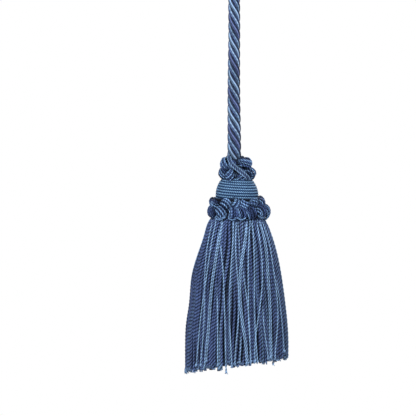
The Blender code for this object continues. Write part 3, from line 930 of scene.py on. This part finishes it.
def add_skirt_yarn(mesh, angles, depths, heights, tint, points=8, plain=False, radius=YARN,
                   turn=YARN_TURN):
    """Add a hanging yarn, given its angle and its depth below the outline at some heights.

    Its plies lie in step with its neighbours', so that their slants run on from yarn to yarn. One
    of fewer points is for inside the skirt: it has fewer sections and no frayed end."""
    outline, centre = outline_at(heights)
    reach = outline - depths
    path = np.stack([centre + reach * np.sin(angles), -reach * np.cos(angles), heights], axis=1)
    spacing = {8: turn / 6, 5: turn / 4, 4: 3.0}[points]
    path = evenly(path, spacing)
    phase = SLANT * STEP_RADIUS * np.mean(angles) / turn + random.normal(0.0, OUT_OF_STEP)
    thick = np.full(len(path), radius)
    thick[-3:] *= TIP_SPREAD
    outward = unit(path * (1.0, 1.0, 0.0))
    if points == 8:
        add_frayed_tip(mesh, path[-1], unit(path[-1] - path[-3]), 0.5 * (tint + 1.1 * LIGHT))
    # painted light: the yarns brighten towards the skirt's top
    painted_light = TOP_PAINTED_LIGHT * np.clip((path[:, 2] - TOP_PAINTED_LIGHT_FOOT) / TOP_PAINTED_LIGHT_RISE, 0.0, 1.0)
    tint = tint * (1.0 + painted_light)[:, None, None]
    waist, shaded = (0.85, None) if plain else (YARN_WAIST, "beside")
    add_yarn(mesh, path, frame_towards(path, outward), thick, tint, points=points, waist=waist,
             phase=phase, turn=turn, shaded=shaded)


def add_frayed_tip(mesh, tip, along, tint):
    """Add the short fibres that splay from a yarn's cut end."""
    for _ in range(TIP_FIBRES):
        splay = random.normal(0.0, 0.45, 3) * (1.0, 1.0, 0.2)
        length = random.uniform(0.5, 1.3)
        start = tip - 0.6 * along + 0.4 * YARN * random.normal(0.0, 1.0, 3) * (1.0, 1.0, 0.0)
        steps = np.linspace(0.0, 1.0, 4)[:, None]
        path = start + steps * (0.6 + length) * along + steps ** 2 * splay * length
        thick = np.linspace(0.34, 0.14, 4)
        add_yarn(mesh, path, frame_towards(path, np.array((0.3, -0.9, 0.1))), thick,
                 tint * random.uniform(0.9, 1.6), points=3, waist=1.0)


def ragged_end():
    long = random.random() < 0.1
    return random.normal(0.0, END_RAGGED) - (random.uniform(0.8, 2.0) if long else 0.0)


def navy_tint():
    pick = random.random()
    if pick < 0.84:
        return NAVY * random.uniform(0.8, 1.3)
    if pick < 0.93:
        return MID * random.uniform(0.6, 1.0)
    return (0.6 * NAVY + 0.4 * PURPLE) * random.uniform(0.8, 1.2)


def light_tint():
    return LIGHT * random.uniform(0.8, 1.1)


def make_skirt_face(name, finish, first, last, turn):
    """The outer yarns between two angles, nearly all navy, one beside the other."""
    mesh = YarnMesh()
    for number in range(FACE_YARNS):
        angle = first + (last - first) * (number + 0.5) / FACE_YARNS
        jitter = random.normal(0.0, 0.3)
        deeper = 1.3 if number % 2 else 0.0
        heights = yarn_heights(end_height(angle, 0.98) + ragged_end())
        radius, _ = outline_at(heights)
        crowded = np.clip(1.0 - (SKIRT_TOP - heights) / 45.0, 0.0, 1.0)
        depths = YARN_DEPTH + 0.6 * fold_at(angle, heights) + deeper * crowded
        depths = depths + random.uniform(0.0, 0.2)
        angles = angle + (sway_at(angle, heights) + jitter) / radius
        tint = 0.7 * light_tint() if random.random() < 0.03 else navy_tint()
        add_skirt_yarn(mesh, angles, depths, heights, tint, turn=turn)
    settle(mesh.make(name, finish), "skirt")


def add_charted_yarn(mesh, places, shows_from, copy, offset):
    """Add a light yarn that comes out from under the others at a height and follows its chart."""
    end_x = places[-1] + offset
    heights = yarn_heights(SKIRT_END + END_SLOPE * end_x + END_TILT * LIGHT_FRONT + ragged_end())
    radius, centre = outline_at(heights)
    across = natural_spline(np.array(LIGHT_HEIGHTS)[::-1], np.array(places)[::-1],
                            np.clip(heights, LIGHT_HEIGHTS[-1], LIGHT_HEIGHTS[0]))
    across = across + offset * np.clip((SKIRT_TOP - heights) / 12.0, 0.5, 1.0)
    risen = np.clip((shows_from + 4.0 - heights) / 12.0, 0.0, 1.0)
    lift = risen ** 2 * (3.0 - 2.0 * risen)
    depths = LIGHT_DEPTH + LIGHT_HIDDEN * (1.0 - lift) + 0.12 * copy
    angles = np.arcsin(np.clip((across - centre) / (radius - depths), -LIGHT_EDGE, LIGHT_EDGE))
    add_skirt_yarn(mesh, angles, depths, heights, light_tint(), radius=LIGHT_YARN)


def add_rear_light(mesh, angle, copy):
    """Add one of the scattered light yarns behind."""
    heights = yarn_heights(end_height(angle, 1.0) + ragged_end())
    radius, _ = outline_at(heights)
    wander = random.uniform(-1.5, 1.5) * np.clip((SKIRT_TOP - heights) / 80.0, 0.0, 1.0)
    angles = angle + (1.4 * sway_at(angle, heights) + wander) / radius
    depths = np.full(len(heights), LIGHT_DEPTH + 0.1 * copy)
    add_skirt_yarn(mesh, angles, depths, heights, light_tint(), radius=LIGHT_YARN, turn=REAR_TURN)


def make_light_yarns(finish):
    """The light yarns that lie on top: the charted ones in front, and scattered ones behind."""
    mesh = YarnMesh()
    for places, shows_from, count in LIGHT_YARNS:
        for copy in range(count):
            offset = LIGHT_SPACING * (copy - 0.5 * (count - 1))
            add_charted_yarn(mesh, places, shows_from, copy, offset)
    angle, last = REAR_LIGHTS
    while angle < last:
        count = 1 + int(random.random() < 0.3) + int(random.random() < 0.1)
        for copy in range(count):
            add_rear_light(mesh, angle + copy * REAR_COPY, copy)
        angle += math.radians(random.uniform(7.0, 13.0))
    settle(mesh.make("skirt_light_yarns", finish), "skirt")


def add_under_yarns(mesh):
    """Add the layer just under the outer yarns, its navy darkened as painted shade."""
    for number in range(UNDER_YARNS):
        angle = TAU * number / UNDER_YARNS
        heights = yarn_heights(end_height(angle, 0.93) + ragged_end(), 2.0)
        radius, _ = outline_at(heights)
        angles = angle + sway_at(angle, heights) / radius
        depths = np.full(len(heights), UNDER_DEPTH) + random.uniform(-0.2, 0.3)
        # painted shade: the navy is darkened to a third for the shade between the outer yarns
        add_skirt_yarn(mesh, angles, depths, heights, 0.3 * navy_tint(), points=5, plain=True)


def add_inner_yarns(mesh):
    """Add the yarns inside, spread evenly like the seeds of a sunflower."""
    golden = math.pi * (3.0 - math.sqrt(5.0))
    for number in range(INNER_YARNS):
        share = INNER_REACH * math.sqrt((number + 0.5) / INNER_YARNS)
        angle = golden * number
        heights = yarn_heights(end_height(angle, share) + ragged_end(), 4.0)
        radius, _ = outline_at(heights)
        depths = radius * (1.0 - share)
        angles = angle + 0.3 * sway_at(angle, heights) / radius
        tint = light_tint() if random.random() < 0.3 else navy_tint()
        add_skirt_yarn(mesh, angles, depths, heights, tint, points=4, plain=True)


def make_skirt_heart(finish):
    mesh = YarnMesh()
    add_under_yarns(mesh)
    add_inner_yarns(mesh)
    settle(mesh.make("skirt_heart", finish), "skirt")


def make_skirt():
    reseed(SKIRT_SEED)
    finish = yarn_finish("skirt_yarn", painted_groove_shade=0.06, flecks=0.2)
    make_skirt_face("skirt_front", finish, math.radians(-90), math.radians(90), YARN_TURN)
    make_skirt_face("skirt_rear", finish, math.radians(90), math.radians(270), REAR_TURN)
    make_light_yarns(finish)
    make_skirt_heart(finish)


# ---------------------------------------------------------------- everything in its order

make_view()
make_lights()
make_floor()
rope, rope_route = make_rope()
whipping = make_whipping()
make_head()
make_collar()
make_ruff()
make_skirt()
